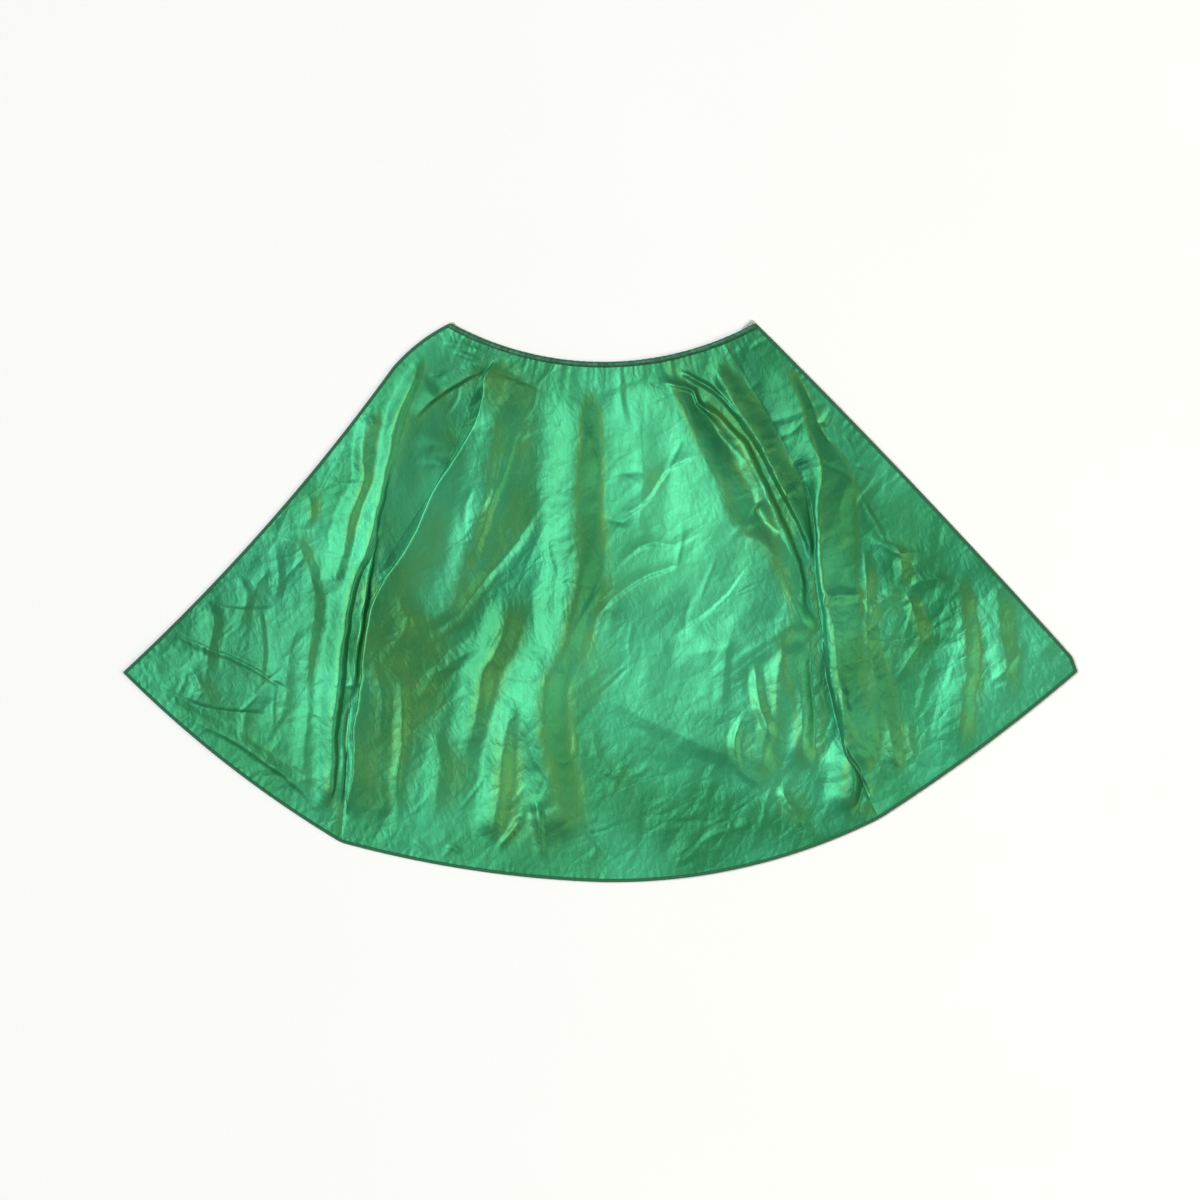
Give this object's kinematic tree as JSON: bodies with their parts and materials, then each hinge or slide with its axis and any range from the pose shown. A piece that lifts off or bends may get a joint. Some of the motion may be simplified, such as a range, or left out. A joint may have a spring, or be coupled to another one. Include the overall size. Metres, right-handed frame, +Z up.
{
  "type": "superhero cape",
  "caption": "Child's green satin costume cape laid flat: gathered neckline with a narrow binding, side panels sewn to the back, overlocked hem and hook-and-loop neck closure.",
  "frame": {"origin": "middle of the cape's footprint as it lies flat, on the surface it lies on", "axes": "+X to the cape's right as it is seen from above, +Y towards the neckline, +Z up, away from the table; the outer face of the satin faces +Z"},
  "size_m": [1.002, 0.5903, 0.018],
  "materials": {
    "satin": "glossy green polyester satin",
    "binding": "dark green folded satin strip",
    "thread": "dark green polyester overlock and sewing thread",
    "hook_tape": "grey hook tape",
    "loop_tape": "grey loop tape"
  },
  "bodies": {
    "back": {"back_panel": "satin", "left_gathers": "satin", "right_gathers": "satin", "left_panel_seam": "thread", "right_panel_seam": "thread", "neck_binding": "binding", "binding_stitching": "thread", "back_hem_edge": "thread", "left_tip_edge": "thread", "right_tip_edge": "thread", "hook_patch": "hook_tape", "hook_patch_stitching": "thread", "loop_patch": "loop_tape", "loop_patch_stitching": "thread"},
    "left_front": {"left_side_panel": "satin", "left_hem_edge": "thread", "left_front_edge": "thread"},
    "right_front": {"right_side_panel": "satin", "right_hem_edge": "thread", "right_front_edge": "thread"}
  },
  "joints": [
    {"name": "left_front_fold", "type": "hinge", "parent": "back", "child": "left_front", "pos_m": [-0.203, 0.26, 0.012], "axis": [0.2161, 0.9764, 0], "range_deg": [0, 160]},
    {"name": "right_front_fold", "type": "hinge", "parent": "back", "child": "right_front", "pos_m": [0.2, 0.256, 0.012], "axis": [0.2313, -0.9729, 0], "range_deg": [0, 160]}
  ]
}
